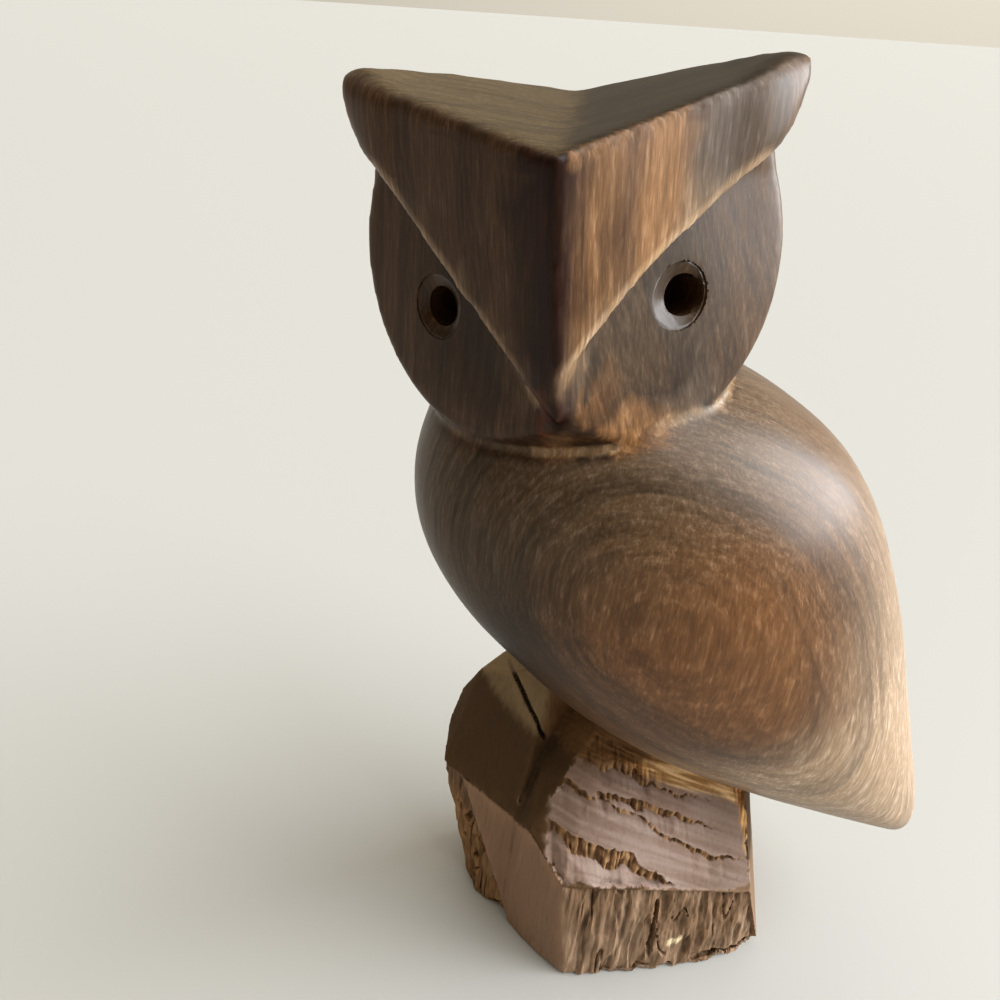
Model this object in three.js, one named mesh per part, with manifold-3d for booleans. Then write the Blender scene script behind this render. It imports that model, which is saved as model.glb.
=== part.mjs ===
// A small owl carved from one block of dense brown desert wood, with the head turned over its left
// shoulder. The bird is sanded and waxed, and it stands on a stump of the same block, left as hewn.
// Millimetres, +Z up. The origin is on the stump's underside, +X runs from the breast to the tail,
// and the face looks towards -Y.
import * as THREE from "three";
import { mergeVertices } from "three/addons/utils/BufferGeometryUtils.js";
import { ConvexGeometry } from "three/addons/geometries/ConvexGeometry.js";
import Module from "manifold-3d";

const wasm = await Module();
wasm.setup();

const degrees = Math.PI / 180;

// The body, seen from the side. Each row is one slice through it: the point on the back, the point
// facing it on the breast or belly, both as x and z, and half the body's thickness there.
const bodySlices = [
  { back: [-8.5, 101], belly: [-28, 98.5], half: 7.5 },
  { back: [1.5, 98.5], belly: [-31, 93.5], half: 13.5 },
  { back: [9, 94.5], belly: [-33, 86.5], half: 17.2 },
  { back: [15.5, 89.5], belly: [-32.5, 79], half: 19.5 },
  { back: [21, 82.5], belly: [-29, 71], half: 20 },
  { back: [25.5, 74], belly: [-23, 63], half: 19.5 },
  { back: [29.7, 65], belly: [-16, 55.5], half: 18.5 },
  { back: [33.7, 55.5], belly: [-7, 48.5], half: 16.5 },
  { back: [37.6, 46.5], belly: [3.5, 42.5], half: 14 },
  { back: [41, 38.5], belly: [15.5, 36.5], half: 11.2 },
  { back: [43.4, 32.5], belly: [26.5, 31.3], half: 8.8 },
  { back: [44.6, 27.8], belly: [35, 27], half: 6.6 },
  { back: [44.2, 24.2], belly: [40, 23], half: 4 },
];
const breastCap = 1.5;
const tailCap = 1.4;
const ringsPerSlice = 3;
const bodySides = 48;

// The head has a frame of its own: +Y forward along the beak, +Z up, mirrored in X. It is set on the
// body turned away from the breast, and leans a little towards it.
const headCentre = [-18.1, -0.6, 109];
const headTurn = 10.2;
const headLean = 6;
const skull = { side: 19.7, front: 17.7, up: 20.2, offset: 0, sides: 56, rings: 36 };

// The two flats of the brow meet in a ridge down the middle of the face and end in the beak.
const faceTurn = 35.3;
const ridge = { front: 17, top: 13 };
const browPlate = 7;
const horn = { tip: [19.3, 18.2], side: [20.5, 15], under: [17.8, 10.4], notch: [16.4, 8.9] };

// The crown is a shallow valley that runs from the ridge to the back of the head, between two slopes.
// Below its edge the head draws in a little, and then swells to the skull.
const crown = { front: 11.7, valleySlope: 0.06 };
const crownRim = { side: 18.3, back: 13, forward: 0.5, up: 19 };
const crownFoot = { side: 12, back: 8, forward: 0.5, up: 0 };
const crownSteps = 14;

// Each eye is a hole drilled into a flat that lies a little lower than the brow, most of all at the horn.
const eyeFlat = { drop: 1.9, tilt: 0.12 };
const eye = { rim: 5.8, bore: 3.7, rimDepth: 1.3, depth: 4.5, sides: 24 };

// The halves of the face were cut by eye, so they differ: the owl's right half, then its left.
const halves = [
  { side: 1, crownSlope: 0.225, browBow: [9, -0.2], beakUp: -10.2, eyeOut: 11.4, eyeUp: -2.2 },
  { side: -1, crownSlope: 0.205, browBow: [6.4, 2.6], beakUp: -7, eyeOut: 10.6, eyeUp: -1.7 },
];

// The stump, as the corners where the hatchet's flats meet. Two lumps leave a valley between them.
const frontLump = [
  [-9.2, -13.9, 0], [2, -13.5, 0], [15.4, -12, 0], [20, -11, 0], [24.3, -8.5, 0],
  [25, 14, 0], [-4, 19, 0], [-18.6, -3.5, 0], [-15.6, -7.4, 0],
  [-17.7, -3.2, 25], [-16.35, -7.6, 29.2], [-11.5, -13.1, 24], [4.7, -10.9, 16.6], [19.7, -8.7, 14.9],
  [-8.4, -3.35, 40], [-1.3, -3.9, 39], [16.7, -3.3, 31.2], [24, 14, 25], [18, 14, 34],
  [-3, 2, 50], [4, 2, 46], [17, 2, 37], [-10, 14, 49],
];
const leftLump = [
  [-18.6, -3.5, 0], [-23.3, 0.4, 0], [-25, 6.3, 0], [-22, 14, 0], [-4, 19, 0], [0, 10, 0],
  [-29, 6, 27], [-28, 10, 33], [-26.2, 11.1, 38.5], [-23.7, 8.9, 45], [-19.2, 4.5, 49],
  [-17.7, -3.2, 25], [-14, 2, 52], [-14, 14, 50], [0, 10, 45],
];

function solidOf(geometry) {
  const bare = geometry.clone();
  bare.deleteAttribute("normal");
  bare.deleteAttribute("uv");
  const merged = mergeVertices(bare, 1e-4);
  return new wasm.Manifold(
    new wasm.Mesh({
      numProp: 3,
      vertProperties: new Float32Array(merged.attributes.position.array),
      triVerts: new Uint32Array(merged.index.array),
    }),
  );
}

function geometryOf(solid) {
  const mesh = solid.getMesh();
  const geometry = new THREE.BufferGeometry();
  geometry.setAttribute("position", new THREE.BufferAttribute(mesh.vertProperties, 3));
  geometry.setIndex(new THREE.BufferAttribute(mesh.triVerts, 1));
  return geometry;
}

function blockBetween(corners) {
  return solidOf(new ConvexGeometry(corners.map((corner) => new THREE.Vector3(...corner))));
}

// All that lies on the outer side of a plane, as a block larger than the owl.
function beyondPlane(point, normal) {
  const size = 200;
  const block = new THREE.BoxGeometry(size, size, size);
  block.translate(0, 0, size / 2);
  const outward = new THREE.Vector3(...normal).normalize();
  block.applyQuaternion(new THREE.Quaternion().setFromUnitVectors(new THREE.Vector3(0, 0, 1), outward));
  block.translate(...point);
  return solidOf(block);
}

// The slices are ellipses. Smooth curves along the back and the belly carry the rings in between.
function body() {
  const curveThrough = (points) => new THREE.CatmullRomCurve3(points, false, "catmullrom", 0.5);
  const backLine = curveThrough(bodySlices.map(({ back: [x, z] }) => new THREE.Vector3(x, 0, z)));
  const bellyLine = curveThrough(bodySlices.map(({ belly: [x, z], half }) => new THREE.Vector3(x, half, z)));
  const steps = (bodySlices.length - 1) * ringsPerSlice;
  const positions = [];
  for (let ring = 0; ring <= steps; ring++) {
    const back = backLine.getPoint(ring / steps);
    const belly = bellyLine.getPoint(ring / steps);
    for (let side = 0; side < bodySides; side++) {
      const angle = (side / bodySides) * 2 * Math.PI;
      const share = (1 + Math.cos(angle)) / 2;
      const x = belly.x + (back.x - belly.x) * share;
      const z = belly.z + (back.z - belly.z) * share;
      positions.push(x, -belly.y * Math.sin(angle), z);
    }
  }
  const top = positions.length / 3;
  const middleOf = ({ back, belly }) => [(back[0] + belly[0]) / 2, (back[1] + belly[1]) / 2];
  const [breastX, breastZ] = middleOf(bodySlices[0]);
  const [tailX, tailZ] = middleOf(bodySlices.at(-1));
  positions.push(breastX, 0, breastZ + breastCap);
  positions.push(tailX + tailCap / 2, 0, tailZ - tailCap);
  const faces = [];
  for (let side = 0; side < bodySides; side++) {
    const next = (side + 1) % bodySides;
    for (let ring = 0; ring < steps; ring++) {
      const here = ring * bodySides;
      const below = here + bodySides;
      faces.push(here + side, here + next, below + side, here + next, below + next, below + side);
    }
    faces.push(top, next, side, top + 1, steps * bodySides + side, steps * bodySides + next);
  }
  const geometry = new THREE.BufferGeometry();
  geometry.setAttribute("position", new THREE.Float32BufferAttribute(positions, 3));
  geometry.setIndex(faces);
  return solidOf(geometry);
}

// One half of the brow, drawn on the flat it lies in and given its thickness towards the skull.
function browHalf({ side, browBow, beakUp }) {
  const stretch = 1 / Math.cos(faceTurn * degrees);
  const on = ([out, up]) => [out * stretch, up];
  const outline = new THREE.Shape();
  outline.moveTo(0, ridge.top);
  outline.lineTo(...on(horn.tip));
  outline.quadraticCurveTo(...on(horn.side), ...on(horn.under));
  outline.lineTo(...on(horn.notch));
  outline.quadraticCurveTo(...on(browBow), 0, beakUp);
  outline.closePath();
  const thickness = { depth: browPlate, bevelEnabled: false, curveSegments: 10 };
  const plate = new THREE.ExtrudeGeometry(outline, thickness);
  plate.rotateX(90 * degrees);
  plate.rotateZ(-faceTurn * degrees);
  plate.translate(0, ridge.front, 0);
  return solidOf(side > 0 ? plate : mirrored(plate));
}

// Mirrors a geometry in X, and turns each face round so that it still points outwards.
function mirrored(geometry) {
  const loose = geometry.index ? geometry.toNonIndexed() : geometry.clone();
  loose.scale(-1, 1, 1);
  const corners = loose.attributes.position;
  for (let i = 0; i < corners.count; i += 3) {
    const second = new THREE.Vector3().fromBufferAttribute(corners, i + 1);
    const third = new THREE.Vector3().fromBufferAttribute(corners, i + 2);
    corners.setXYZ(i + 1, ...third);
    corners.setXYZ(i + 2, ...second);
  }
  return loose;
}

// The flat under one eye, as a point on it and the direction it faces.
function eyeFlatOf({ side, eyeOut, eyeUp }) {
  const turn = faceTurn * degrees;
  const back = eyeFlat.drop + eyeOut * Math.sin(turn) + eyeUp * eyeFlat.tilt;
  return {
    point: [side * eyeOut, ridge.front - back / Math.cos(turn), eyeUp],
    outward: [side * Math.sin(turn), Math.cos(turn), eyeFlat.tilt],
  };
}

function eyeHole(half) {
  const { rim, bore, rimDepth, depth, sides } = eye;
  const { point, outward } = eyeFlatOf(half);
  const boreLine = [[0, -depth], [bore / 2, -depth], [bore / 2, -rimDepth]];
  const rimLine = [[rim / 2, 0], [rim / 2, depth], [0, depth]];
  const outline = [...boreLine, ...rimLine].map(([radius, along]) => new THREE.Vector2(radius, along));
  const drill = new THREE.LatheGeometry(outline, sides);
  const along = new THREE.Vector3(...outward).normalize();
  drill.applyQuaternion(new THREE.Quaternion().setFromUnitVectors(new THREE.Vector3(0, 1, 0), along));
  drill.translate(...point);
  return solidOf(drill);
}

function crownBlock() {
  const corners = [];
  for (const ring of [crownRim, crownFoot]) {
    for (let step = 0; step <= crownSteps; step++) {
      const angle = (step / crownSteps) * Math.PI;
      corners.push([ring.side * Math.cos(angle), ring.forward - ring.back * Math.sin(angle), ring.up]);
    }
  }
  return blockBetween(corners);
}

function head() {
  const ball = new THREE.SphereGeometry(1, skull.sides, skull.rings);
  ball.rotateX(90 * degrees);
  ball.scale(skull.side, skull.front, skull.up);
  ball.translate(skull.offset, 0, 0);
  let solid = solidOf(ball).add(crownBlock());
  for (const half of halves) {
    const { point, outward } = eyeFlatOf(half);
    solid = solid.subtract(beyondPlane(point, outward));
  }
  for (const half of halves) solid = solid.add(browHalf(half)).subtract(eyeHole(half));
  for (const { side, crownSlope } of halves) {
    const roof = beyondPlane([0, ridge.front, crown.front], [-side * crownSlope, crown.valleySlope, 1]);
    solid = solid.subtract(roof.intersect(beyondPlane([0, 0, 0], [side, 0, 0])));
  }
  const placed = geometryOf(solid);
  placed.rotateY(headLean * degrees);
  placed.rotateZ((180 - headTurn) * degrees);
  placed.translate(...headCentre);
  return solidOf(placed);
}

function stump() {
  return blockBetween(frontLump).add(blockBetween(leftLump));
}

const owl = new THREE.Group();
const wood = new THREE.MeshStandardMaterial({ color: 0x5b4030, roughness: 0.45, metalness: 0 });
const carving = new THREE.Mesh(geometryOf(body().add(head()).add(stump())), wood);
carving.name = "owl_on_stump";
owl.add(carving);

export default owl;
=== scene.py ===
import math

import bpy
import numpy as np
from mathutils import Matrix, Vector, noise
from mathutils.bvhtree import BVHTree
from mathutils.kdtree import KDTree


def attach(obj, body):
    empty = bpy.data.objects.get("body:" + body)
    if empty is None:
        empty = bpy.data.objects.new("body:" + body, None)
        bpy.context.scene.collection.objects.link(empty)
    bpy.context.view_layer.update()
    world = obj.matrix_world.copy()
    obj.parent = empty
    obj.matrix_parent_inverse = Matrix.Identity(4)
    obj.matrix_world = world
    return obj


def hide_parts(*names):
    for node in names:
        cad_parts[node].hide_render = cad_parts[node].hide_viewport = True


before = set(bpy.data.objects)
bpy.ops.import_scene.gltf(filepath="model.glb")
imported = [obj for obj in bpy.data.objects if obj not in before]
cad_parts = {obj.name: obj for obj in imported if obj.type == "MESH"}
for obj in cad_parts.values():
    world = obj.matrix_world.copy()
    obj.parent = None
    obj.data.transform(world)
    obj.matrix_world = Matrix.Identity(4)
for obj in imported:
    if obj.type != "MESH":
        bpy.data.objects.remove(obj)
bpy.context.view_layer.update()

# The owl and its stump are one block of dense brown desert wood, sawn flat below and carved by hand, so
# nothing is joined on. The work starts from a merged copy of the solid, with the eyes filled, and rebuilds
# it in small even faces.
mm = 0.001
block_face = 0.42 * mm
same_corner = 0.002 * mm

bpy.ops.object.select_all(action="DESELECT")
owl = bpy.data.objects.new("carved_owl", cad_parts["owl_on_stump"].data.copy())
bpy.context.scene.collection.objects.link(owl)
bpy.context.view_layer.objects.active = owl
owl.select_set(True)
bpy.ops.mesh.customdata_custom_splitnormals_clear()
bpy.ops.object.mode_set(mode="EDIT")
bpy.ops.mesh.select_all(action="SELECT")
bpy.ops.mesh.remove_doubles(threshold=same_corner)
bpy.ops.object.mode_set(mode="OBJECT")

# The cuts of the hatchet stay known by the solid's own flats, so each place finds the flat it lies on.
flats = [polygon.normal.copy() for polygon in owl.data.polygons]
flat_corners = [vertex.co / mm for vertex in owl.data.vertices]
flat_tree = BVHTree.FromPolygons(flat_corners, [list(polygon.vertices) for polygon in owl.data.polygons])

# The head has a frame of its own, in millimetres: out to the bird's left, forward along the beak, and up.
# The two brow planes turn back from the ridge between them by face_turn.
head_centre = Vector((-18.1, -0.6, 109))
head_turned = Matrix.Rotation(math.radians(169.8), 3, "Z") @ Matrix.Rotation(math.radians(6), 3, "Y")
face_turn = math.radians(35.3)
ridge_front = 17


def on_head(out, forward, up):
    return head_turned @ Vector((out, forward, up)) + head_centre


# Each eye is a shallow dish with a crisp rim, and a hole drilled in it, not quite at its middle.
eye_mouth = 2.95
rim_depth = 0.25
mouth_depth = 0.8
eye_bore = 1.85
eye_depth = 4.5
eye_set_back = 1.9
eye_up_turn = 0.12
plug_radius = 3.6
eyes = []
for side, out, up, bore_aside in ((1, 11.7, -2.5, 0), (-1, 10.2, -1.35, 0.75)):
    back = eye_set_back + out * math.sin(face_turn) + up * eye_up_turn
    outward = Vector((side * math.sin(face_turn), math.cos(face_turn), eye_up_turn)).normalized()
    outward = head_turned @ outward
    aside = outward.cross(Vector((0, 0, -1))).normalized() * bore_aside
    eyes.append((on_head(side * out, ridge_front - back / math.cos(face_turn), up), outward, aside))


def add_eye_round(middle, outward, inner, outer, start, end):
    """A round about one eye's line, from one depth and radius to another, in millimetres."""
    turn = outward.to_track_quat("Z", "Y").to_euler()
    place = middle + outward * (start + end) / 2
    bpy.ops.mesh.primitive_cone_add(vertices=72, radius1=inner * mm, radius2=outer * mm,
                                    depth=(end - start) * mm, location=place * mm, rotation=turn)
    return bpy.context.active_object


plugs = [
    add_eye_round(middle, outward, plug_radius, plug_radius, -eye_depth - 1, 0)
    for middle, outward, _ in eyes
]
bpy.ops.object.select_all(action="DESELECT")
for plug in plugs:
    plug.select_set(True)
owl.select_set(True)
bpy.context.view_layer.objects.active = owl
bpy.ops.object.join()


def apply_modifier(piece, kind, **settings):
    modifier = piece.modifiers.new(kind.lower(), kind)
    for name, value in settings.items():
        setattr(modifier, name, value)
    bpy.context.view_layer.objects.active = piece
    bpy.ops.object.modifier_apply(modifier=modifier.name)


shape = owl.copy()
shape.data = owl.data.copy()
bpy.context.scene.collection.objects.link(shape)
apply_modifier(owl, "REMESH", mode="VOXEL", voxel_size=block_face, use_smooth_shade=True)
apply_modifier(owl, "SHRINKWRAP", target=shape, wrap_method="NEAREST_SURFACEPOINT")
bpy.data.objects.remove(shape)

# The bird is rasped and sanded until no edge is sharp: the horns most, the brow least. The stump is left
# as the blade left it, apart from a soft fillet where the bird stands on it. Lengths are in millimetres.
corner_lean = (0.08, 0.017)
beak_tip = (-19.6, -16.7, 99.4)


def places(piece):
    flat = np.empty(len(piece.data.vertices) * 3)
    piece.data.vertices.foreach_get("co", flat)
    return flat.reshape(-1, 3) / mm


def facings(piece):
    flat = np.empty(len(piece.data.vertices) * 3)
    piece.data.vertices.foreach_get("normal", flat)
    return flat.reshape(-1, 3)


def move_to(piece, points):
    piece.data.vertices.foreach_set("co", (points * mm).ravel())
    piece.data.update()


def spread(piece, values, times):
    """Each value becomes the mean of its neighbours' values, as many times as asked."""
    edges = np.empty(len(piece.data.edges) * 2, dtype=int)
    piece.data.edges.foreach_get("vertices", edges)
    a, b = edges.reshape(-1, 2).T
    count = np.bincount(a, minlength=len(values)) + np.bincount(b, minlength=len(values))
    for _ in range(times):
        total = np.bincount(a, values[b], len(values)) + np.bincount(b, values[a], len(values))
        values = total / np.maximum(count, 1)
    return values


def ramp(values, start, end):
    """A share that rises softly from 0 at the start to 1 at the end."""
    share = np.clip((values - start) / (end - start), 0, 1)
    return share * share * (3 - 2 * share)


def flat_under(points):
    return np.array([flats[flat_tree.find_nearest(Vector(point))[2]] for point in points])


def on_stump(points, normals):
    """Which places belong to the stump: those low down, and those under the body that face up or out.
    The bird's places face down there, and the tail starts beyond x = 26."""
    x, y, z = points.T
    below_body = (x < 25.3) & (z < 52.3) & (z < 50 - 0.45 * x) & ((z < 41) | (y > -6))
    return (below_body & (normals[:, 2] > -0.12) | (z < 25) & (x < 26)).astype(float)


def in_head(points):
    return (points - np.array(head_centre)) @ np.array(head_turned)


def from_corner(points):
    """How far each place is, level, from the stump's upright front left corner."""
    x, y, z = points.T
    return np.hypot(x + 10 + corner_lean[0] * z, y + 13.3 - corner_lean[1] * z)


def grain(points, width, length, seed):
    """Noise drawn out along the upright grain, from -1 to 1."""
    shift = Vector((seed * 7.3, seed * 3.1, seed * 5.7))
    stretch = Vector((1 / width, 1 / width, 1 / length))
    return np.array([noise.noise(Vector(point) * stretch + shift) for point in points])


def smooth_by(piece, weights, times):
    group = piece.vertex_groups.new(name="soft")
    for i in np.nonzero(weights > 0.01)[0]:
        group.add([int(i)], float(weights[i]), "REPLACE")
    apply_modifier(piece, "SMOOTH", factor=0.5, iterations=times, vertex_group="soft")
    piece.vertex_groups.clear()


points = places(owl)
hewn = spread(owl, on_stump(points, flat_under(points)), 3)
bird = 1 - hewn
foot = spread(owl, hewn, 9)
from_head = np.linalg.norm(in_head(points), axis=1)
from_beak_tip = np.linalg.norm(points - beak_tip, axis=1)
crown = bird * ramp(in_head(points)[:, 2], 7, 12)
blunt_beak = ramp(3.2 - from_beak_tip, 0, 2)
body = bird * ramp(from_head, 20.5, 25)
fillet = 4 * foot * (1 - foot) * np.where(points[:, 1] < 3, 1, 0.4)
front_corner = hewn * ramp(4 - from_corner(points), 0, 2.5) * ramp(24 - points[:, 2], 0, 4)
for share, strokes in (
    (bird, 13), (crown, 18), (blunt_beak, 30), (body, 44), (fillet, 60), (hewn, 3), (front_corner, 60)
):
    smooth_by(owl, share, strokes)

# The horns end in thick round tips, and the brow rolls back to them.
tip_gain = 0.75
tip_roll = 0.9
tip_strokes = 18
points = places(owl)
out, forward, height = in_head(points).T
horn_tips = bird * ramp(np.abs(out), 13, 18) * ramp(height, 7, 11)
behind = ridge_front - np.abs(out) * math.tan(face_turn) - forward
near_brow = horn_tips * ramp(4 - behind, 0, 4)
rolled = near_brow * np.clip((np.abs(out) - 12.5) / 5.5, 0, 1) ** 2 * ramp(height, 7.5, 9.5)
points = points + facings(owl) * (tip_gain * horn_tips)[:, None]
move_to(owl, points - np.array(head_turned)[:, 1] * (tip_roll * rolled)[:, None])
smooth_by(owl, horn_tips, tip_strokes)

# Sanding by hand leaves the long surfaces a little uneven.
unevenness = 0.1
points = places(owl)
hewn = spread(owl, on_stump(points, flat_under(points)), 4)
hollow = unevenness * grain(points, 9, 13, 21) - unevenness
points += facings(owl) * (hollow * ramp(1 - hewn, 0, 1) * ramp(points[:, 2], 25, 45))[:, None]
move_to(owl, points)

# The stump keeps the marks of its making: sides split along the grain, flats cut across it with a blade,
# and steps on the front where the chips tore away. It is divided finer than the bird to carry them.
hewn_now = on_stump(points, flat_under(points)) > 0.5
bpy.ops.object.mode_set(mode="EDIT")
bpy.ops.mesh.select_all(action="DESELECT")
bpy.ops.object.mode_set(mode="OBJECT")
for polygon in owl.data.polygons:
    on_underside = polygon.center.z < 0.5 * mm and polygon.normal.z < -0.9
    polygon.select = not on_underside and all(hewn_now[i] for i in polygon.vertices)
bpy.ops.object.mode_set(mode="EDIT")
bpy.ops.mesh.select_mode(type="FACE")
bpy.ops.mesh.subdivide(number_cuts=1)
bpy.ops.object.mode_set(mode="OBJECT")


def soft_flats(piece, points):
    """The direction of the flat each place lies on, turning softly from one flat to the next."""
    sharp = flat_under(points)
    return np.stack([spread(piece, sharp[:, axis].copy(), 6) for axis in range(3)], axis=1)


def hewn_zones(points, normals):
    """How far each place belongs to the split sides, the torn strip, the smooth cuts and the front slope."""
    x, y, z = points.T
    across, inward, upward = normals.T
    strip_edge = -23.3 + 0.315 * (17.7 - z)
    torn_strip = ramp(strip_edge - x, -0.5, 0.4) * ramp(22.6 - 1.44 * (x + 26.5) - z, 0, 1.5)
    end_cut = ramp(-across, 0.15, 0.6) * ramp(-inward, 0.1, 0.2) * ramp(x - strip_edge, -0.4, 0.5)
    end_cut *= ramp(0.2 - upward, 0, 0.1)
    split_side = np.maximum(ramp(0.2 - upward, 0, 0.03) * (1 - end_cut) * (z < 30), torn_strip)
    slope = ramp(-inward, 0.6, 0.7) * ramp(upward, 0.28, 0.34) * ramp(x, -14, -13)
    return split_side, torn_strip, end_cut, slope


points = places(owl)
normals = soft_flats(owl, points)
hewn = spread(owl, on_stump(points, flat_under(points)), 3)
stump_points = np.nonzero(hewn > 0.05)[0]
p = points[stump_points]
n = normals[stump_points]
split_side, torn_strip, _, on_slope = hewn_zones(p, n)

# Where the wood split, the fibres part at every width from broad splinters to hairs. The factors in front
# are depths in millimetres. The upright front left corner was dressed, so the splitting fades out there.
splinters = grain(p, 1.5, 26, 1)
fibres = grain(p, 0.6, 12, 2)
hairs = grain(p, 0.32, 6, 3)
splits = ramp(0.04 - np.abs(grain(p, 2.6, 90, 4)), 0, 0.04) * ramp(grain(p, 5, 9, 5), 0.0, 0.25)
broken = ramp(grain(p, 2.2, 12, 7), 0.1, 0.3)
pits = ramp(grain(p, 1.1, 2.4, 6), 0.34, 0.5) * torn_strip
chunks = grain(p, 3.2, 4.5, 9)
depth = split_side * (0.45 * (0.6 - splinters) + 0.17 * (0.5 - fibres) + 0.12 * (0.5 - hairs) + 0.5 * splits)
depth += split_side * (0.4 * broken + 0.4 * (0.5 - chunks)) + 0.9 * pits
depth *= 0.15 + 0.85 * ramp(from_corner(p), 0.3, 3.5)
depth += (1 - split_side) * (0.14 * (0.5 - grain(p, 5, 9, 8)) + 0.03 * (0.5 - fibres))

# The front slope is measured from its lower left corner, across and up, in millimetres.
slope_corner = np.array([-11.5, -13.1, 24])
slope_across = np.array([0.973, 0.23, 0])
slope_up = np.array([-0.094, 0.398, 0.912])

# Each torn step is a line across the slope, higher at the left. It drops in below that line, by a wall
# of torn fibre ends, and the sheet under it comes back to the level of the slope.
tears = [
    {
        "line": [(-5, 10.9), (-2.1, 9.8), (0.1, 8.8), (2.3, 7.2), (6, 4.9), (9, 3.4), (11.2, 2.6),
                 (12.1, 0.3), (14.5, -1.6), (18.5, -5)],
        "wall": [(-5, 1.2), (-1, 2.3), (2.3, 3.1), (6, 3.7), (9, 4.1), (11.2, 4.4), (12.1, 2.4),
                 (15, 1.6), (18.5, 0)],
        "drop": 0.85, "recover": 5,
    },
    {
        "line": [(0, 16.9), (4.1, 13.6), (7.8, 11.2), (12.4, 8), (16.3, 4.4), (21.1, 1.2), (24.6, -1.1),
                 (31, -3.9)],
        "wall": [(0, 1.5), (3, 1.3), (6, 0.5), (12, 0.6), (18, 0.9), (22, 1.1), (27, 1.0), (31, 0)],
        "drop": 0.45, "recover": 3,
    },
    {
        "line": [(5.5, 13.6), (7.5, 12.8), (13.2, 10.5), (16.7, 8.3), (19.9, 6.3), (26.5, 2.5)],
        "wall": [(5.5, 0), (7, 1.3), (10, 1.6), (13, 2.2), (14.5, 1.2), (17, 1.4), (20, 0.8), (26.5, 0)],
        "drop": 0.6, "recover": 2.4,
    },
    {
        "line": [(1, 21), (5.2, 19.1), (9.8, 16.8), (14.6, 13.1), (18, 10.9), (25.4, 7.9), (30, 5)],
        "wall": [(1, 0), (4, 1.4), (8, 2.0), (12, 1.8), (15, 0.8), (20, 0.4), (30, 0)],
        "drop": 0.5, "recover": 2,
    },
]
top_tear = list(zip(*tears[3]["line"]))


def on_slope_at(points):
    """How far across and up the front slope each place is."""
    return (points - slope_corner) @ slope_across, (points - slope_corner) @ slope_up


def ragged(values, width, seed):
    return np.array([noise.noise(Vector((value / width, seed, 0.5))) for value in values])


def torn_steps(points):
    """How deep the torn steps lie, how far each place is in a wall or a fringe of torn fibres, and the
    fibre ends themselves, which stand side by side like combs."""
    across, up = on_slope_at(points)
    combs = np.array([
        noise.noise(Vector((a / 0.4, u / 5, 9.2))) + 0.6 * noise.noise(Vector((a / 1.1, u / 1.6, 3.4)))
        for a, u in zip(across, up)
    ])
    drop = np.zeros(len(points))
    walls = np.zeros(len(points))
    for number, tear in enumerate(tears):
        line = np.interp(across, *zip(*tear["line"]))
        line = line + 0.35 * ragged(across, 0.5, number) + 0.5 * ragged(across, 1.7, number + 0.7)
        wall = np.interp(across, *zip(*tear["wall"])) * (1 + 0.6 * ragged(across, 2.2, number + 4.1))
        first, last = tear["line"][0][0], tear["line"][-1][0]
        reach = ramp(across, first, first + 1) * ramp(-across, -last, 1 - last) * np.clip(wall / 0.5, 0, 1)
        below = line - up
        fall = np.clip(below / np.maximum(wall, 0.15), 0, 1) ** 0.6
        back = 1 - np.clip((below - wall) / tear["recover"], 0, 1)
        in_wall = ramp(below, -0.1, 0.15) * ramp(wall - below, -0.1, 0.15) * reach
        drop += reach * tear["drop"] * fall * back * np.clip(wall, 0, 1.3) + in_wall * (0.05 + 0.42 * combs)
        walls = np.maximum(walls, in_wall)
    above = up - np.interp(across, *top_tear) + 0.8 * ragged(across, 1.1, 7.7)
    width = np.interp(across, [0, 5, 14, 24, 32], [3.6, 3.4, 2.4, 1.6, 1.4])
    width = width * (1 + 0.5 * ragged(across, 1.6, 2.9))
    fringe = ramp(above, -0.3, 0.5) * ramp(width - above, -0.3, 0.5) * ramp(across, -2, 1)
    fringe *= ramp(18 - across, 0, 6)
    drop += fringe * (0.15 + 0.4 * combs)
    right_rim = ramp(across + 0.25 * up + 0.5 * ragged(up, 1.3, 6.1), 29.4, 30.4)
    drop += right_rim * (0.1 + 0.2 * combs)
    fringe = np.maximum(fringe, right_rim)
    return drop, walls, fringe, combs


drop, _, _, _ = torn_steps(p)
depth += on_slope * drop


def lower_left_cut(points):
    """How far each place lies past the soft ridge near the slope's lower left corner."""
    across, up = on_slope_at(points)
    return np.interp(up, [-1, 0.8, 3.2, 6.3, 10], [4.4, 3.8, 2.1, -0.5, -4]) - across


depth += on_slope * 0.16 * np.clip(lower_left_cut(p), 0, 4)


def long_fibres(points, length, width):
    """Noise drawn out along the way the chips tore, down to the right over the front slope."""
    across, up = on_slope_at(points)
    return np.array([
        noise.noise(Vector(((a - 0.6 * u) / length, (u + 0.55 * a) / width, 0.3)))
        for a, u in zip(across, up)
    ])


across, up = on_slope_at(p)
under_bird = ramp(up - np.interp(across, *top_tear), 0, 1.2) * ramp(across, 3, 9)
fine_fibres = (0.05 + 0.1 * under_bird) * (0.5 - long_fibres(p, 5, 0.4))
broad_fibres = 0.1 * (0.5 - long_fibres(p, 9, 1.3))
depth += on_slope * (fine_fibres + broad_fibres)


# A thin crack runs down the left top, and a deeper one down the front.
def crack_at(points):
    start, end = np.array([-19.2, 4.2, 49]), np.array([-13.6, 0.6, 38.2])
    way = end - start
    share = (points - start) @ way / (way @ way)
    side = np.cross(way, (0.1, -0.95, 0.25)) / np.linalg.norm(way)
    off = np.abs((points - start) @ side + 0.12 * ragged(points[:, 2], 1.8, 8.1))
    along_crack = ramp(share, -0.05, 0.1)
    return ramp(0.36 - off, 0, 0.22) * along_crack * ramp(0.97 - share, 0, 0.1) * (points[:, 1] < 8)


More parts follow.
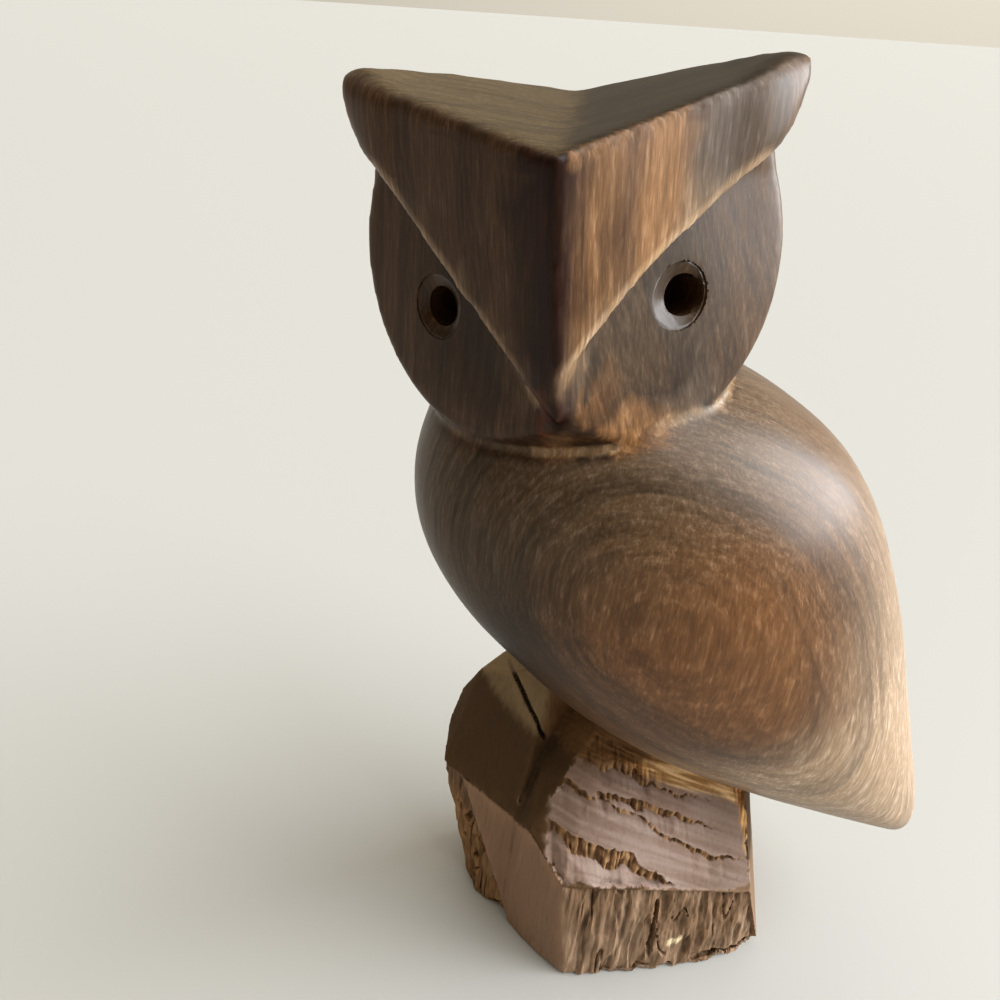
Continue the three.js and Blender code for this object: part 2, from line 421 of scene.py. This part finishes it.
crack_depth = 0.8
split_depth = 1.3
depth += crack_depth * crack_at(p)
split_at = 4.4 + 0.5 * ragged(p[:, 2], 4, 2.6) + 0.2 * ragged(p[:, 2], 1.1, 5.2)
front_split = ramp(0.45 - np.abs(p[:, 0] - split_at), 0, 0.3) * (p[:, 1] < -9) * ramp(17 - p[:, 2], 0, 2)
depth += split_depth * front_split * ramp(p[:, 2], 2, 6)

# The front's lower edge is broken in at the right, and chipped all along. The saw left the underside flat.
undercut_depth = 1.0
chip_depth = 0.7
lip = 2.6 + 0.6 * ragged(p[:, 0], 3, 1.3) - 0.13 * (p[:, 0] - 12)
undercut = ramp(lip - p[:, 2], -0.3, 0.5) * ramp(p[:, 0], 11, 13.5) * (n[:, 1] < -0.3)
depth += undercut_depth * undercut
chipped = ramp(grain(p, 2.2, 4, 12), 0.0, 0.45) * ramp(1.6 - p[:, 2], 0, 1.2) * split_side
depth += chip_depth * chipped

depth = np.maximum(depth, -0.1) * hewn[stump_points] * ramp(n[:, 2], -0.999, -0.93)
points[stump_points] -= n * depth[:, None]
points[:, 2] = np.maximum(points[:, 2], 0)
move_to(owl, points)

most_faces = 184000
apply_modifier(owl, "TRIANGULATE")
apply_modifier(owl, "DECIMATE", ratio=min(1, most_faces / len(owl.data.polygons)))
points = places(owl)
points[:, 2] = np.maximum(points[:, 2], 0)
move_to(owl, points)

# The eyes are drilled last, into the sanded wood, so their mouths stay crisp. The wood round them is
# divided finer first. Each cutter starts inside the one before it, so no two ends share a plane.
near_eye = 5.5
overlap = 0.04
lip_strokes = 2
crease = math.radians(38)
bpy.ops.object.mode_set(mode="EDIT")
bpy.ops.mesh.select_mode(type="FACE")
bpy.ops.mesh.select_all(action="DESELECT")
bpy.ops.object.mode_set(mode="OBJECT")
for polygon in owl.data.polygons:
    polygon.select = any((polygon.center / mm - middle).length < near_eye for middle, _, _ in eyes)
bpy.ops.object.mode_set(mode="EDIT")
bpy.ops.mesh.subdivide(number_cuts=2)
bpy.ops.mesh.select_all(action="SELECT")
bpy.ops.mesh.quads_convert_to_tris()
bpy.ops.object.mode_set(mode="OBJECT")
for middle, outward, aside in eyes:
    for cutter in (
        add_eye_round(middle, outward, eye_mouth, eye_mouth + 0.4, -rim_depth, 3),
        add_eye_round(middle, outward, eye_bore - 0.3, eye_mouth - 0.02, -mouth_depth - 0.13,
                      -rim_depth + 1.5 * overlap),
        add_eye_round(middle + aside, outward, eye_bore, eye_bore, -eye_depth, -rim_depth + overlap),
    ):
        apply_modifier(owl, "BOOLEAN", operation="DIFFERENCE", solver="EXACT", object=cutter)
        bpy.data.objects.remove(cutter)


def about_eye(points, middle, outward):
    """How far each place is along one eye's line, and how far out from it."""
    off = points - np.array(middle)
    along = off @ np.array(outward)
    return along, np.linalg.norm(off - along[:, None] * np.array(outward), axis=1)


points = places(owl)
lips = np.zeros(len(points))
for middle, outward, _ in eyes:
    along, radius = about_eye(points, middle, outward)
    lips = np.maximum(lips, ramp(0.8 - np.abs(radius - eye_mouth), 0, 0.5) * (along > -0.5))
smooth_by(owl, lips, lip_strokes)
bpy.ops.object.select_all(action="DESELECT")
owl.select_set(True)
bpy.context.view_layer.objects.active = owl
bpy.ops.object.shade_smooth_by_angle(angle=crease)


# The wood's own colour changes from zone to zone, and some zones also carry painted light or painted shade,
# as said at each.
# Each zone is laid on by place, and the grain comes over it. The zones' edges wander by under a millimetre,
# as figure in wood does.
def tone(red, green, blue):
    return np.array([red / 255, green / 255, blue / 255]) ** 2.2


edge_wander = 0.8
points = places(owl)
normals = facings(owl)
hewn = spread(owl, on_stump(points, flat_under(points)), 1)
wander = edge_wander * np.stack([grain(points, 0.7, 2.5, seed) for seed in (31, 32, 33)], axis=1)
loose = points + wander
spread_out = np.stack([spread(owl, points[:, axis].copy(), 8) for axis in range(3)], axis=1)
dips = np.sum((spread_out - points) * normals, axis=1)
x, y, z = loose.T
out, forward, height = in_head(loose).T
head = ramp(-np.linalg.norm(in_head(points) / (19.7, 17.7, 20.2), axis=1), -1.07, -1.03)
head = np.maximum(head, ramp(in_head(points)[:, 2], -9, -6) * (points[:, 2] > 98))
bird = 1 - hewn
patchy = grain(points, 9, 14, 41)
stain_and_painted_light = np.tile(tone(100, 73, 50), (len(points), 1))


def lay(share, colour):
    stain_and_painted_light[:] += np.clip(share, 0, 1)[:, None] * (colour - stain_and_painted_light)


# The body: a dark breast, darkened partly as painted shade, a warm flank, paler wood to the back and the
# tail, lightened partly as painted light, and a belly lightened as painted light.
body = bird * (1 - head)
# The breast is darkened partly as painted shade, on the side away from the light.
breast = body * ramp(-x, 10, 24)
flank = body * ramp(-y, 15.4, 19.6) * ramp(z, 48, 62)
shoulder = body * ramp(z - 0.6 * x, 78, 100) * 0.8
# The back and the tail are paler wood, lightened further as painted light on the side towards the windows.
back = body * ramp(x, 8, 26) * 0.8
tail = body * ramp(x, 22, 34) * ramp(82 - z, 0, 16) * 0.4
# The belly is lightened as painted light, to offset the shade on its downward face.
belly = body * ramp(62 + 0.4 * x - z, 0, 16) * ramp(x, -14, 0) * 0.9
far_side = body * ramp(y, -2, 12) * 0.5
for zone, colour in (
    (breast, tone(30, 18, 9)),
    (flank, tone(116, 80, 50)),
    (shoulder, tone(92, 74, 56)),
    (back, tone(150, 124, 97)),
    (tail, tone(164, 140, 115)),
    (belly, tone(162, 134, 105)),
    (far_side, tone(92, 68, 46)),
):
    lay(zone, colour)

# The face: a striped brow on its right side, a darker left side, partly painted shade as it faces away from
# the light, a crown whose right half is painted shade, and a dark heart down the ridge.
right_face = head * ramp(-out, 0.8, 1.6)
left_face = head * ramp(out, 0.5, 3)
on_brow = head * ramp(forward - ridge_front + np.abs(out) * math.tan(face_turn), -1.3, -0.5)
off_brow = ramp(-on_brow, -0.5, 0)
stripes = ramp(ragged(out + 0.08 * height, 0.9, 3.3), 0.08, 0.35)
right_cheek = right_face * ramp(-height, 5, 12)
right_brow = on_brow * ramp(-out, 0.8, 1.6) * ramp(out, -12, -8.5)
brow_end = on_brow * ramp(-out, 9, 12)
chin = right_face * ramp(-height, 8, 13) * off_brow * 0.75
brow_stripes = on_brow * ramp(-out, 0.8, 1.6) * stripes * 0.6
below_beak = head * ramp(3.4 - np.abs(out + 2.4), 0, 1.2) * ramp(-height, 8.5, 10)
below_beak = below_beak * ramp(height, -14, -12) * 0.2
head_back = head * ramp(-forward, -8, -3) * 0.5
ridge = head * ramp(forward, 13.9, 15.2) * ramp(12 - height, -2, 1) * ramp(out, -1.6, -0.6)
beside_ridge = head * ramp(0.5 - np.abs(out - 1.3), 0, 0.3)
beside_ridge = beside_ridge * ramp(forward, 12, 14) * ramp(9 - height, 0, 4) * 0.6
crown = head * ramp(normals[:, 2], 0.75, 0.9) * (height > 8)
for zone, colour in (
    (right_face, tone(72, 55, 38)),
    (right_cheek, tone(58, 42, 28)),
    (right_brow, tone(126, 90, 57)),
    (brow_end, tone(98, 80, 64)),
    (chin, tone(46, 32, 20)),
    (brow_stripes, tone(82, 56, 35)),
    (below_beak, tone(110, 76, 48)),
    # The left side is darkened partly as painted shade, as it faces away from the light.
    (left_face, tone(76, 54, 36)),
    (left_face * (1 - on_brow), tone(58, 40, 24)),
    (head_back, tone(92, 66, 44)),
    (ridge, tone(46, 24, 11)),
    (beside_ridge, tone(96, 46, 22)),
    (crown, tone(80, 64, 42)),
    # Painted shade: the crown's right half faces away from the light and is laid darker.
    (crown * ramp(-out, 0, 2) * 0.8, tone(44, 32, 18)),
):
    lay(zone, colour)

# The brow's lower edge is laid pale, partly as wear from handling and partly as painted highlight, stronger
# on the lit right side, and the neck crease is laid pale too. The edge bows in from each horn to the beak.
brow_steps = 40
horn_end = np.array([16.4, 8.9])
brow_edges = KDTree(2 * (brow_steps + 1))
for side, bow, beak in ((1, (9, -0.2), -10.2), (-1, (6.4, 2.6), -7)):
    for step in range(brow_steps + 1):
        t = step / brow_steps
        edge = horn_end * (1 - t) ** 2 + 2 * t * (1 - t) * np.array(bow) + t * t * np.array([0, beak])
        behind = ridge_front - edge[0] * math.tan(face_turn)
        brow_edges.insert(on_head(side * edge[0], behind, edge[1]), step)
brow_edges.balance()
from_brow = np.array([brow_edges.find(Vector(point))[2] for point in points])
# Partly wear, partly painted highlight along the brow's lower edge.
brow_wear_and_highlight = bird * ramp(1.5 - from_brow, 0, 0.9) * np.where(out < 0, 0.75, 0.4) * ramp(height, -9, -2)
lay(brow_wear_and_highlight, tone(178, 146, 112))
neck = ramp(dips, 0.07, 0.14) * bird * ramp(-height, 2, 8)
lay(neck * np.where(out < 3, 0.6, 0.2), tone(148, 118, 86))

# The stump: split sides, smooth blade cuts on the left, the pale front slope, lighter still as painted
# light, and its torn fibres.
split_side, torn_strip, end_cut, _ = hewn_zones(loose, soft_flats(owl, points))
hewn_cut = hewn * (1 - split_side)
lay(hewn, tone(118, 94, 73))
lay(hewn * split_side * ramp(patchy, -0.1, 0.3), tone(134, 110, 89))
lay(hewn * torn_strip, tone(134, 104, 74))
lay(hewn_cut * (z > 20), tone(84, 64, 43))
lay(hewn_cut * ramp(z + 0.55 * x, 31.2, 33.2) * (x < -12), tone(128, 108, 82))
lay(hewn * end_cut, tone(144, 116, 95))

slope_flat = flat_under(points + 0.8 * wander)
across, up = on_slope_at(points)
low_edge = np.interp(across, [-4.6, -3.5, -1, 0.3, 3.6, 8, 12.7, 18.8, 25.2, 31],
                     [9.7, 6, 1.9, 0.2, -0.7, -3.2, -5.3, -6, -8.7, -8])
low_edge += 0.5 * ragged(across, 1.6, 5.5) + 0.25 * ragged(across, 0.5, 6.5)
# The slope is pale torn wood, and its tone is raised further as painted light, so it stands bright against
# the shaded facet beside it.
pale = hewn * (slope_flat[:, 1] < -0.6) * (slope_flat[:, 2] > 0.3)
pale = pale * ramp(x, -14, -13) * ramp(up - low_edge, 0, 0.3)
sheets = np.array([
    noise.noise(Vector(((a + 1.6 * u) / 6, (u + 0.6 * a) / 0.9, 0))) for a, u in zip(across, up)
])
lay(pale, tone(160, 140, 130))
lay(pale * ramp(patchy + 0.8 * sheets, -0.3, 0.5) * 0.75, tone(134, 110, 96))
lay(pale * ramp(across, 17, 27) * 0.6, tone(126, 106, 93))
lay(pale * ramp(lower_left_cut(points), 0, 0.5) * 0.7, tone(128, 106, 92))


def streaked(share, dark, light):
    """The colour between a dark and a light tone, from fibre to fibre."""
    return dark + share * (light - dark)


_, walls, fringe, combs = torn_steps(points)
ridges = ramp(-combs, -0.25, 0.45)[:, None]
streaks = ramp(long_fibres(points, 5, 0.4), -0.3, 0.35)[:, None]
above = up - np.interp(across, *top_tear)
# The torn fibres under the belly are laid lighter than their own tan, as painted light against the belly's
# shadow.
torn_band = hewn * (slope_flat[:, 1] < -0.6) * (slope_flat[:, 2] > 0.25) * ramp(above, 0.2, 1.4)
lay(pale * walls, streaked(ridges, tone(104, 76, 52), tone(172, 136, 100)))
lay(torn_band, streaked(streaks, tone(176, 136, 92), tone(240, 204, 158)))
lay(torn_band * ramp(9 - across, 0, 4) * 0.7, tone(160, 110, 62))
lay(pale * fringe, streaked(ridges, tone(140, 98, 60), tone(220, 172, 118)))
fleck = np.linalg.norm((points - (8.2, -12.1, 6.5)) / (1.9, 2, 1.1), axis=1) + 0.9 * patchy
lay(hewn * ramp(1 - fleck + 0.9 * wander[:, 0], 0, 0.3) * 0.9, tone(216, 196, 160))
under_breast = hewn * ramp(z, 38, 40) * ramp(x, -15, -13) * ramp(6 - y, 0, 3)
lay(under_breast, tone(108, 80, 52) + streaks * tone(66, 50, 34))
# The crack is painted near black: painted shade inside it.
lay(hewn * crack_at(points), tone(26, 18, 11))
foot = spread(owl, hewn, 9)
foot = np.clip(4 * foot * (1 - foot) * 1.3, 0, 1) * (z < 54) * ramp(2 - y, 0, 2) * bird
lay(foot * ramp(x, -20, -14), streaked(streaks, tone(112, 78, 48), tone(158, 118, 78)))

# The mouth of each eye is burnished, and the bore behind it is dark.
polish = np.zeros(len(points))
for middle, outward, aside in eyes:
    along, radius = about_eye(points, middle, outward)
    _, bore_radius = about_eye(points, middle + aside, outward)
    in_mouth = (radius < eye_mouth + 0.06) & (along < -rim_depth + 0.05) & (along > -eye_depth - 0.5)
    in_bore = in_mouth * (bore_radius < eye_bore + 0.02) * ramp(-along, 0.6, 1.4)
    lay(in_mouth * 0.6, tone(70, 52, 36))
    lay(in_bore, tone(70, 42, 22))
    polish = np.maximum(polish, in_mouth)

# The laid colours, painted light and painted shade among them, go on the mesh.
colours = np.concatenate([stain_and_painted_light, np.ones((len(points), 1))], axis=1)
layer = owl.data.attributes.new("stain_and_painted_light", "FLOAT_COLOR", "POINT")
layer.data.foreach_set("color", np.ascontiguousarray(colours.ravel(), dtype=np.float32))
dull = np.maximum(hewn, 0.6 * crown)
marks = {"hewn": hewn, "split": hewn * split_side, "dips": dips, "polish": polish, "dull": dull}
for name, values in marks.items():
    layer = owl.data.attributes.new(name, "FLOAT", "POINT")
    layer.data.foreach_set("value", np.ascontiguousarray(values, dtype=np.float32))

# The finish is wax over sanded wood on the bird, and bare dry wood on the stump. The growth layers lie
# across the owl's thickness and wander a little, and the fibres stand upright.
wood = bpy.data.materials.new("ironwood")
wood.use_nodes = True
nodes = wood.node_tree.nodes
shader = nodes["Principled BSDF"]


def add(kind, inputs, **settings):
    made = nodes.new(kind)
    for name, value in settings.items():
        setattr(made, name, value)
    for name, value in inputs.items():
        if isinstance(value, bpy.types.NodeSocket):
            wood.node_tree.links.new(value, made.inputs[name])
        else:
            made.inputs[name].default_value = value
    return made.outputs


def mark(name):
    return add("ShaderNodeAttribute", {}, attribute_name=name)["Fac"]


def times(first, second):
    return add("ShaderNodeMath", {0: first, 1: second}, operation="MULTIPLY")["Value"]


def vector(operation, first, second):
    return add("ShaderNodeVectorMath", {0: first, 1: second}, operation=operation)["Vector"]


def between(value, low, high, start=0.0, end=1.0):
    ends = {"From Min": low, "From Max": high, "To Min": start, "To Max": end}
    return add("ShaderNodeMapRange", {"Value": value, **ends}, interpolation_type="SMOOTHSTEP")["Result"]


def blend(share, first, second):
    return add("ShaderNodeMix", {"Factor": share, 6: first, 7: second}, data_type="RGBA")[2]


def figure(place, size, detail=2.0, roughness=0.5):
    """Noise whose grains have the given size in millimetres along x, y and z."""
    scaled = add("ShaderNodeMapping", {"Vector": place, "Scale": tuple(1 / length for length in size)})
    return add("ShaderNodeTexNoise", {"Vector": scaled["Vector"], "Scale": 1.0, "Detail": detail,
                                      "Roughness": roughness})


def shaded(colour, share, strength, tint=(1, 1, 1)):
    """The colour made darker or lighter: a strength under 1 darkens it."""
    changed = vector("MULTIPLY", colour, tuple(strength * channel for channel in tint))
    return blend(share, colour, changed)


place = add("ShaderNodeVectorMath", {0: add("ShaderNodeTexCoord", {})["Object"], "Scale": 1 / mm},
            operation="SCALE")["Vector"]
sway = vector("SUBTRACT", figure(place, (22, 22, 40))["Color"], (0.5, 0.5, 0.5))
sway = vector("MULTIPLY", sway, (5, 2.4, 8))
grown = vector("ADD", place, sway)
bands = figure(grown, (40, 1.8, 90), 2)["Fac"]
layers = figure(grown, (9, 0.5, 22), 3, 0.65)["Fac"]
ripples = figure(grown, (1.6, 0.24, 4), 2, 0.6)["Fac"]
threads = figure(grown, (0.42, 0.3, 6), 3, 0.6)["Fac"]
pores = figure(grown, (0.2, 0.2, 1.6), 1)["Fac"]
split = figure(place, (0.55, 0.55, 8), 3, 0.65)["Fac"]

greyer = (1, 1.12, 1.35)
base = add("ShaderNodeAttribute", {}, attribute_name="stain_and_painted_light")["Color"]
sanded = shaded(base, between(bands, 0.5, 0.4, 0, 0.6), 0.6)
sanded = shaded(sanded, between(layers, 0.48, 0.36, 0, 0.6), 0.65)
sanded = shaded(sanded, between(ripples, 0.52, 0.66, 0, 0.5), 1.5, greyer)
sanded = shaded(sanded, between(ripples, 0.48, 0.34, 0, 0.5), 0.7)
sanded = shaded(sanded, between(threads, 0.5, 0.66, 0, 0.5), 1.5, greyer)
sanded = shaded(sanded, between(threads, 0.5, 0.34, 0, 0.5), 0.65)
sanded = shaded(sanded, between(pores, 0.55, 0.7, 0, 0.45), 1.6, greyer)
rough = shaded(base, times(between(split, 0.5, 0.66), mark("split")), 1.4)
rough = shaded(rough, times(between(split, 0.5, 0.32), between(mark("split"), 0, 1, 0.3, 0.85)), 0.62)
rough = shaded(rough, between(threads, 0.5, 0.3, 0, 0.3), 0.7)
# Painted shade darkens the hollows of the stump, and painted highlight lightens its ridges and edges.
rough = shaded(rough, between(mark("dips"), 0.03, 0.14, 0, 0.6), 0.55)
rough = shaded(rough, between(mark("dips"), -0.02, -0.12, 0, 0.5), 1.35)
colour = blend(mark("hewn"), sanded, rough)

dry_roughness = 0.78
burnished_roughness = 0.24
groove_depth = 0.12 * mm
wax = between(threads, 0.3, 0.7, 0.32, 0.42)
dry = add("ShaderNodeMix", {"Factor": mark("dull"), "A": wax, "B": dry_roughness})[0]
gloss = add("ShaderNodeMix", {"Factor": mark("polish"), "A": dry, "B": burnished_roughness})[0]
grooves = add("ShaderNodeMix", {"Factor": mark("split"), "A": times(threads, 0.2), "B": split})[0]
bump = add("ShaderNodeBump", {"Height": grooves, "Strength": 0.5, "Distance": groove_depth})["Normal"]
shader.inputs["Base Color"].default_value = (0.13, 0.07, 0.035, 1)
shader.inputs["Specular IOR Level"].default_value = 0.27
wood.node_tree.links.new(colour, shader.inputs["Base Color"])
wood.node_tree.links.new(gloss, shader.inputs["Roughness"])
wood.node_tree.links.new(bump, shader.inputs["Normal"])
owl.data.materials.clear()
owl.data.materials.append(wood)
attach(owl, "root")
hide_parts("owl_on_stump")

# The floor is a plain pale board that runs on to the horizon. It is only there for the picture, so the
# owl is not fixed to it.
floor_radius = 20
bpy.ops.object.select_all(action="DESELECT")
bpy.ops.mesh.primitive_circle_add(vertices=96, radius=floor_radius, fill_type="NGON")
floor = bpy.context.active_object
floor.name = "floor"
pale_board = bpy.data.materials.new("pale_board")
pale_board.use_nodes = True
board = pale_board.node_tree.nodes["Principled BSDF"]
board.inputs["Base Color"].default_value = (0.43, 0.42, 0.4, 1)
board.inputs["Roughness"].default_value = 0.6
floor.data.materials.append(pale_board)

# The room is pale and brightest behind and above. Two tall windows stand to the right, one of them
# reaching high, and give the owl its soft light.
brightest_way = (0.35, 0.38, 0.85)
room_light = {"From Min": -0.25, "From Max": 0.9, "To Min": 0.12, "To Max": 0.95}
room = bpy.data.worlds.new("room")
bpy.context.scene.world = room
room.use_nodes = True
air = room.node_tree.nodes
look = air.new("ShaderNodeTexCoord")
towards = air.new("ShaderNodeVectorMath")
towards.operation = "DOT_PRODUCT"
towards.inputs[1].default_value = brightest_way
strength = air.new("ShaderNodeMapRange")
for name, value in room_light.items():
    strength.inputs[name].default_value = value
room.node_tree.links.new(look.outputs["Generated"], towards.inputs[0])
room.node_tree.links.new(towards.outputs["Value"], strength.inputs["Value"])
room.node_tree.links.new(strength.outputs["Result"], air["Background"].inputs["Strength"])
air["Background"].inputs["Color"].default_value = (1, 0.93, 0.79, 1)

for name, turn, rise, width, power in (("window", -2, 9, 50, 5.6), ("upper_window", -20, 50, 50, 2.4)):
    lamp_data = bpy.data.lights.new(name, "SUN")
    lamp_data.energy = power
    lamp_data.angle = math.radians(width)
    lamp_data.color = (0.89, 0.95, 1)
    lamp = bpy.data.objects.new(name, lamp_data)
    lamp.rotation_euler = (math.radians(90 - rise), 0, math.radians(90 + turn))
    bpy.context.scene.collection.objects.link(lamp)

# The camera looks down on the owl from in front, a little to the left of it and held a little askew.
camera_place = Vector((-28.97, -74.96, 129)) * mm
camera_turn, camera_rise, camera_roll = -4.5, 57.4, 3.85
camera_data = bpy.data.cameras.new("camera")
camera_data.sensor_width = 36
camera_data.lens = 27.72
camera_data.clip_start = 5 * mm
camera_data.clip_end = 5 * floor_radius
camera = bpy.data.objects.new("camera", camera_data)
bpy.context.scene.collection.objects.link(camera)
camera.matrix_world = (
    Matrix.Translation(camera_place)
    @ Matrix.Rotation(math.radians(camera_turn), 4, "Z")
    @ Matrix.Rotation(math.radians(camera_rise), 4, "X")
    @ Matrix.Rotation(math.radians(camera_roll), 4, "Z")
)
bpy.context.scene.camera = camera
bpy.context.scene.view_settings.view_transform = "Standard"
bpy.context.scene.view_settings.look = "Medium High Contrast"
